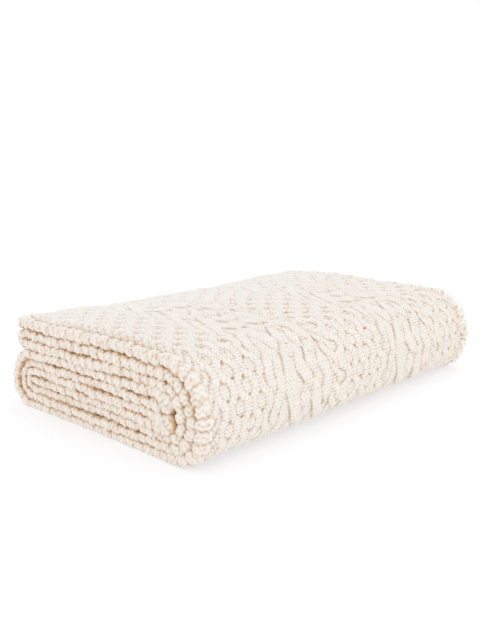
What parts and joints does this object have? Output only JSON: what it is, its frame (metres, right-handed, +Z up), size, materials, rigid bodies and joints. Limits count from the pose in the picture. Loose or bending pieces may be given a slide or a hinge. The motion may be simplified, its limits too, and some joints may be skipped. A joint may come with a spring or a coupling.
{
  "type": "aran knit throw blanket, folded",
  "caption": "Folded cotton throw with aran cables, honeycomb and plaits, resting flat as a soft layered stack with one rounded fold side.",
  "frame": {"origin": "centre of the folded stack's box, on the surface that it rests on", "axes": "+X along the stack away from the layered end that the picture shows, -Y towards the rounded fold side, +Z up"},
  "size_m": [0.508, 0.3506, 0.1172],
  "materials": {
    "cotton": "matte cream cotton yarn, knitted"
  },
  "bodies": {
    "root": {"throw": "cotton"}
  },
  "joints": []
}
